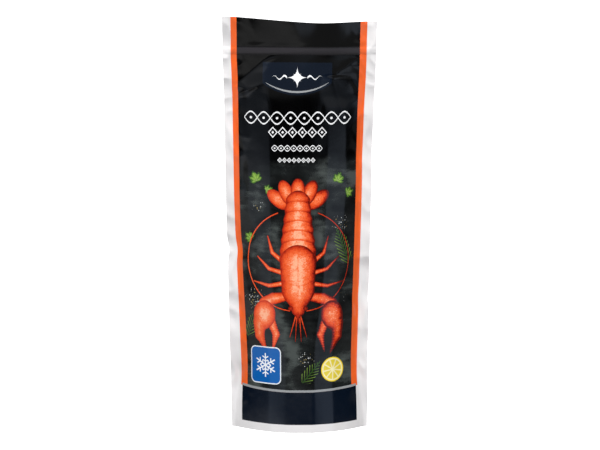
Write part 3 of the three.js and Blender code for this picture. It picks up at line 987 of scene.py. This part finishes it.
def draw_lobster(sheet):
    """Returns the distance to the whole animal, its cover and its colour."""
    aside = abs(sheet.u - LOBSTER_MIDDLE)
    whole, shade = None, 0
    for distance, rim, glow in lobster_layers(sheet, sheet.join(aside, sheet.v), aside):
        height = sheet.math("MULTIPLY", distance, -1 / rim, clamp=True) * glow
        shade = sheet.blend(sheet.inside(distance), shade, height)
        whole = sheet.either(whole, distance) if whole else distance

    lit = (LOBSTER_MIDDLE - sheet.u) * 0.004
    mottle = (sheet.noise(3.6, 4) - 0.5) * 0.8 + (sheet.noise(1.3, 2) - 0.5) * 0.7
    colour = sheet.colours(shade * (mottle + 1) + lit + mottle * 0.12, LOBSTER_SHADES)
    specks = sheet.smooth(sheet.noise(0.9, 1), 0.66, 0.76) * sheet.smooth(shade, 0.3, 0.7) * 0.5
    return whole, sheet.inside(whole), sheet.paint(specks, colour, LOBSTER_SPECK)


print("lobster about", FAN_MIDDLE + FAN_HALF - CLAW_TIP, "mm long in the print")

# %% [markdown]
# ## Small motifs
# Round the lobster lie a slice of lemon, sprigs and leaves of herb and grains of salt. A slice
# of lemon repeats round its middle, so one wedge is drawn and folded round. A sprig's needles
# repeat along its stem, so they come from one comb of slanting lines, cut off at both sides.

# %% Lemon, herbs and salt
LEMON = (31, 56)
LEMON_RADIUS = 11
RIND, PITH, FLESH = ink(248, 214, 48), ink(246, 238, 190), ink(206, 194, 78)
HERB_DARK, HERB_PALE = ink(44, 74, 30), ink(118, 148, 60)
SALT, SEED = ink(206, 208, 206), ink(150, 132, 84)
SPRIGS = [((3, 45), 50, 25, 5.5), ((47, 150), 112, 34, 6), ((-49, 84), 68, 26, 5)]
NEEDLE_PITCH = 3.6
LEAF_DARK, LEAF_PALE, LEAF_VEIN = ink(52, 88, 26), ink(128, 168, 62), ink(172, 198, 110)
LEAVES = [
    ((-38, 224), 25, 1.1), ((-29, 216), -70, 0.8), ((35, 224), -20, 1.0),
    ((44, 213), -75, 0.85), ((-44, 172), 50, 0.9),
]
LOBES = [(-82, 4.6), (-42, 5.8), (0, 6.8), (42, 5.8), (82, 4.6)]
SALT_SPOTS = [((-40, 118), 12), ((37, 186), 9), ((6, 66), 8), ((-36, 200), 7), ((40, 120), 4)]
SALT_FADE, GRAIN_PITCH = 14, 1.7


def draw_lemon(sheet, below):
    from_middle = sheet.disc(LEMON, 0)
    along, aside = sheet.folded(LEMON, math.pi / 9, 0.2)
    flesh = sheet.both(from_middle - LEMON_RADIUS * 0.8, 0.5 - aside, 1.4 - along)
    pulp = sheet.paint(sheet.noise(2.2, 3), FLESH, RIND)
    below = sheet.lay(below, from_middle - LEMON_RADIUS, RIND)
    below = sheet.lay(below, from_middle - LEMON_RADIUS * 0.9, PITH, 0.6)
    return sheet.lay(below, flesh, pulp, 0.6)


def draw_sprig(sheet, below, base, turn, length, reach):
    along, aside, _ = sheet.split(sheet.turned(sheet.place, base, turn))
    side = sheet.math("SIGN", aside)
    aside = abs(aside)
    comb = sheet.math("PINGPONG", (along - aside * 1.25 + side * 0.9) / NEEDLE_PITCH, 0.5)
    room = sheet.either((length - along) * 0.6, along * 0.9 + 1.5, reach)
    needles = sheet.both((comb - 0.13) * 2.2, aside - room)
    stem = aside - 0.4
    shape = sheet.both(sheet.either(needles, stem), abs(along - length / 2) - length / 2)
    green = sheet.paint(aside / reach, HERB_DARK, HERB_PALE)
    return sheet.lay(below, shape, green, 0.35)


def draw_leaves(sheet, below):
    """Each leaf is a fan of pointed lobes that share a foot, with a toothed edge and pale veins."""
    shape, veins = None, None
    for place, turn, size in LEAVES:
        foot = Vector(place)
        for lobe, length in LOBES:
            reach = length * size
            angle = math.radians(turn + lobe + 90)
            to_tip = Vector((math.cos(angle), math.sin(angle))) * reach
            petal = sheet.oval(foot + to_tip * 0.55, (reach * 0.34, reach * 0.6), turn + lobe)
            vein = sheet.limb(foot, foot + to_tip, 0.3, 0.05)
            shape = sheet.either(shape, petal) if shape else petal
            veins = sheet.either(veins, vein) if veins else vein
    shape = shape + (sheet.noise(1.1, 2) - 0.5) * 2.6
    depth = sheet.smooth(shape + sheet.noise(2.4, 2) * 1.4, 0.6, -0.9)
    green = sheet.paint(depth, LEAF_DARK, LEAF_PALE)
    green = sheet.paint(sheet.inside(veins, 0.4) * 0.6, green, LEAF_VEIN)
    return sheet.lay(below, shape, green, 0.4)


def draw_salt(sheet, below):
    """Grains of coarse salt, and some of crushed pepper seed among them."""
    near = sheet.joined(sheet.disc(centre, radius) for centre, radius in SALT_SPOTS)
    share = sheet.inside(near, SALT_FADE)
    cells = sheet.node("ShaderNodeTexVoronoi", {"voronoi_dimensions": "2D", "feature": "F1"},
                       {"Vector": sheet.place, "Scale": 1 / GRAIN_PITCH})
    pick, kind, _ = sheet.split(cells.outputs["Color"])
    size = sheet.math("MULTIPLY_ADD", pick + share, 0.68, -0.9)
    grain = Number(sheet, cells.outputs["Distance"]) - size
    colour = sheet.paint(sheet.smooth(kind, 0.55, 0.6), SALT, SEED)
    return sheet.paint(sheet.inside(grain, 0.12) * 0.85, below, colour)


print("sprigs:", len(SPRIGS), "leaves:", len(LEAVES))

# %% [markdown]
# ## Plates and ornament
# A small navy plate with a silver curve hangs below the band and carries a compass star between
# two waves. Four rows of white ornament stand under it: a braid, a row of lozenges and two
# fine rows. A blue plate with a snow crystal, the plain sign for frozen goods, lies at the foot.

# %% Star, plate and crystal
PLATE_MIDDLE = -1.6
PLATE_SIDES, PLATE_LOW, PLATE_TOP = (-32.2, 29), 299.9, 327.9
PLATE_CURVE, CURVE_INSET = 50.5, 1.9
STAR_PLACE = (PLATE_MIDDLE, 315)
STAR_WHITE, ROW_WHITE = ink(240, 240, 240), ink(244, 244, 244)
LABEL, LABEL_HALF, LABEL_CORNER, LABEL_RIM = (-31.2, 59.6), (15, 16.6), 5, 0.9
LABEL_BLUE, LABEL_WHITE = ink(0, 91, 166), ink(236, 240, 244)
CRYSTAL = 10.6


def star(sheet, centre, reach, place=None):
    """Four long thin points. The square roots pull the sides in towards the middle."""
    from_centre = sheet.vector("SUBTRACT", place or sheet.place, (*centre, 0))
    across, up, _ = sheet.split(sheet.vector("ABSOLUTE", from_centre))
    roots = sheet.math("SQRT", across) + sheet.math("SQRT", up)
    return (roots - math.sqrt(reach)) * math.sqrt(reach) * 0.6


def draw_plate(sheet, below):
    curve_centre = (PLATE_MIDDLE, PLATE_LOW + PLATE_CURVE)
    rim = sheet.disc(curve_centre, PLATE_CURVE)
    plate = sheet.both(sheet.box(*PLATE_SIDES, PLATE_LOW, PLATE_TOP), rim)
    below = sheet.lay(below, plate, NAVY)
    outer = rim + CURVE_INSET
    inner = sheet.disc((curve_centre[0], curve_centre[1] + 8), PLATE_CURVE - CURVE_INSET + 6.4)
    crescent = sheet.both(outer, -inner, sheet.box(*PLATE_SIDES, PLATE_LOW, 310.6))
    below = sheet.lay(below, crescent, SILVER)
    small = star(sheet, (0, 0), 5.2, sheet.turned(sheet.place, STAR_PLACE, 45))
    large = star(sheet, STAR_PLACE, 9.6)
    ring = abs(sheet.disc(STAR_PLACE, 3.3)) - 0.3
    aside = abs(sheet.u - STAR_PLACE[0])
    wave = sheet.math("SINE", aside * (math.tau / 9)) * 1.5
    thin = (22 - aside) * 0.07
    scroll = sheet.both(abs(sheet.v - STAR_PLACE[1] - wave) - thin, abs(aside - 15.5) - 6.5)
    return sheet.lay(below, sheet.either(small, large, ring, scroll), STAR_WHITE)


def draw_crystal(sheet, below):
    label = sheet.soft_box(LABEL, LABEL_HALF, LABEL_CORNER)
    below = sheet.lay(below, label, LABEL_WHITE)
    below = sheet.lay(below, label + LABEL_RIM, LABEL_BLUE)
    along, aside = sheet.folded(LABEL, math.pi / 6, math.pi / 6)
    crystal = sheet.both(aside - 0.6, along - CRYSTAL)
    for foot, length in ((3.2, 3.0), (6.2, 3.4)):
        past = along - foot
        out = past * 0.5 + aside * math.sin(math.pi / 3)
        off = abs(past * math.sin(math.pi / 3) - aside * 0.5) - 0.5
        crystal = sheet.either(crystal, sheet.both(off, abs(out - length / 2) - length / 2))
    return sheet.lay(below, crystal, LABEL_WHITE)


# %% Rows of ornament
def row(sheet, middle, level, half_width, pitch):
    """Repeats a strip of the film. Returns across and up in one repeat, and the row's ends."""
    across = sheet.u - (middle - half_width)
    local = (sheet.math("FRACT", across / pitch) - 0.5) * pitch
    return local, sheet.v - level, abs(sheet.u - middle) - half_width


def braid(sheet, middle, level, half_width, pitch, rise, line):
    """Two crossing waves with a dot in each eye."""
    local, up, ends = row(sheet, middle, level, half_width, pitch)
    wave = sheet.math("COSINE", local * (math.pi / pitch)) * rise
    strands = sheet.either(abs(up - wave), abs(up + wave)) - line
    dot = sheet.measure("LENGTH", sheet.join(local, up)) - line * 1.7
    return sheet.both(sheet.either(strands, dot), ends)


def lozenges(sheet, middle, level, half_width, pitch, rise, line):
    """Hollow lozenges, each with a filled one inside, touching at their points."""
    local, up, ends = row(sheet, middle, level, half_width, pitch)
    outline = (abs(local) * (2 * rise / pitch) + abs(up) - rise) * 0.75
    return sheet.both(sheet.either(abs(outline + line) - line, outline + rise * 0.55), ends)


# Pattern, middle, level, half the width, pitch, rise and line of each row
ORNAMENT = [
    (braid, -1.2, 279.8, 48, 12, 5.2, 0.62),
    (lozenges, -1.2, 267.4, 26, 8.667, 4.9, 0.45),
    (braid, -1.6, 253.4, 22.4, 5.6, 2.4, 0.42),
    (lozenges, -2, 243, 16.8, 4.2, 2.3, 0.34),
]


def draw_rows(sheet, below):
    rows = [pattern(sheet, *sizes) for pattern, *sizes in ORNAMENT]
    return sheet.lay(below, sheet.either(*rows), ROW_WHITE)


print("rows of ornament:", len(ORNAMENT))

# %% [markdown]
# ## Gloss
# The ink lies under a clear outer film, so black, white and orange all have the same soft gloss.
# It is a little uneven, because the film has been handled, and the welded band and edges are
# duller where the hot bars have pressed their fine ribs into them.

# %% Gloss and ribs
GLOSS, DULL = 0.17, 0.32
RIB_PITCH, RIB_HEIGHT = 1.3, 0.012


def finish_print(sheet, colour):
    """Sends the colour, the uneven gloss and the fine relief to the surface."""
    sheet.feed(sheet.shader.inputs["Base Color"], colour)
    welded = sheet.inside(abs(sheet.v - BAND_MIDDLE) - BAND_HALF, 1.5)
    side = sheet.smooth(abs(sheet.u), HALF_PANEL - 1, HALF_PANEL + 1)
    pressed = sheet.both(welded, side)
    handled = sheet.noise(17, 3) * 0.08 - 0.04
    sheet.feed(sheet.shader.inputs["Roughness"], sheet.blend(pressed, GLOSS, DULL) + handled)
    ribs = sheet.math("SINE", sheet.v * (math.tau / RIB_PITCH)) * pressed * RIB_HEIGHT
    skin = sheet.noise(1.6, 2) * 0.008 + sheet.noise(9, 1) * 0.05
    sockets = {"Height": (ribs + skin) * MM, "Distance": 1, "Strength": 1}
    relief = sheet.node("ShaderNodeBump", {}, sockets)
    sheet.feed(sheet.shader.inputs["Normal"], relief.outputs["Normal"])


# %% Print the front and the back
SHADOW_REACH, SHADOW_FADE, SHADOW_DEPTH = 1.5, 7, 0.75


def print_film(name, is_front):
    """Lays the whole print down, from the ground up. The back has no lobster, lemon or label."""
    sheet = Print(name)
    shadow = None
    if is_front:
        distance, cover, lobster = draw_lobster(sheet)
        shadow = sheet.inside(distance - SHADOW_REACH, SHADOW_FADE) * SHADOW_DEPTH
    colour = draw_leaves(sheet, draw_salt(sheet, ground(sheet, shadow)))
    for sprig in SPRIGS:
        colour = draw_sprig(sheet, colour, *sprig)
    if is_front:
        colour = sheet.paint(cover, draw_lemon(sheet, colour), lobster)
        colour = draw_crystal(sheet, colour)
    finish_print(sheet, draw_plate(sheet, draw_rows(sheet, colour)))
    print(name, "has", len(sheet.tree.nodes), "nodes")
    return sheet.material


front_print, back_print = print_film("front_print", True), print_film("back_print", False)

# %% The foot film's own white
FOOT_WHITE, FOOT_GREY = ink(242, 241, 240), ink(232, 230, 229)
FOOT_GLOSS, FOOT_DULLER, CLOUDS_PER_METRE = 0.2, 0.14, 60

foot_finish, foot_shader = new_material("foot_finish")
foot_sheet = Sheet(foot_finish.node_tree)
foot_at = foot_sheet.node("ShaderNodeTexCoord", {}, {}).outputs["Object"]
cloud_sockets = {"Vector": foot_at, "Scale": CLOUDS_PER_METRE, "Detail": 3}
foot_cloud = foot_sheet.number("ShaderNodeTexNoise", {}, cloud_sockets)
foot_colour = foot_sheet.paint(foot_cloud, FOOT_GREY, FOOT_WHITE)
foot_sheet.feed(foot_shader.inputs["Base Color"], foot_colour)
foot_sheet.feed(foot_shader.inputs["Roughness"], foot_cloud * FOOT_DULLER + FOOT_GLOSS)
print("the foot's white has", len(foot_sheet.tree.nodes), "nodes")

# %% Dress the films
finishes = {front_film: front_print, back_film: back_print, foot_film: foot_finish}
for film, finish in finishes.items():
    film.data.materials.clear()
    film.data.materials.append(finish)
    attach(film, "root")
    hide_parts("pouch")
print("films dressed:", len(finishes))

# %% Floor
bpy.ops.object.select_all(action="DESELECT")
bpy.ops.mesh.primitive_plane_add(size=30, location=(0, 0, 0))
floor = bpy.context.object
floor.name = "floor"
floor.visible_glossy = False
floor.visible_diffuse = False
floor_finish, floor_shader = new_material("floor_finish")
floor_looks = {
    "Base Color": (0.96, 0.96, 0.96, 1), "Roughness": 0.9, "Specular IOR Level": 0.1,
    "Emission Color": (1, 1, 1, 1), "Emission Strength": 1.0,
}
for socket_name, look in floor_looks.items():
    floor_shader.inputs[socket_name].default_value = look
floor.data.materials.append(floor_finish)
print("floor laid")
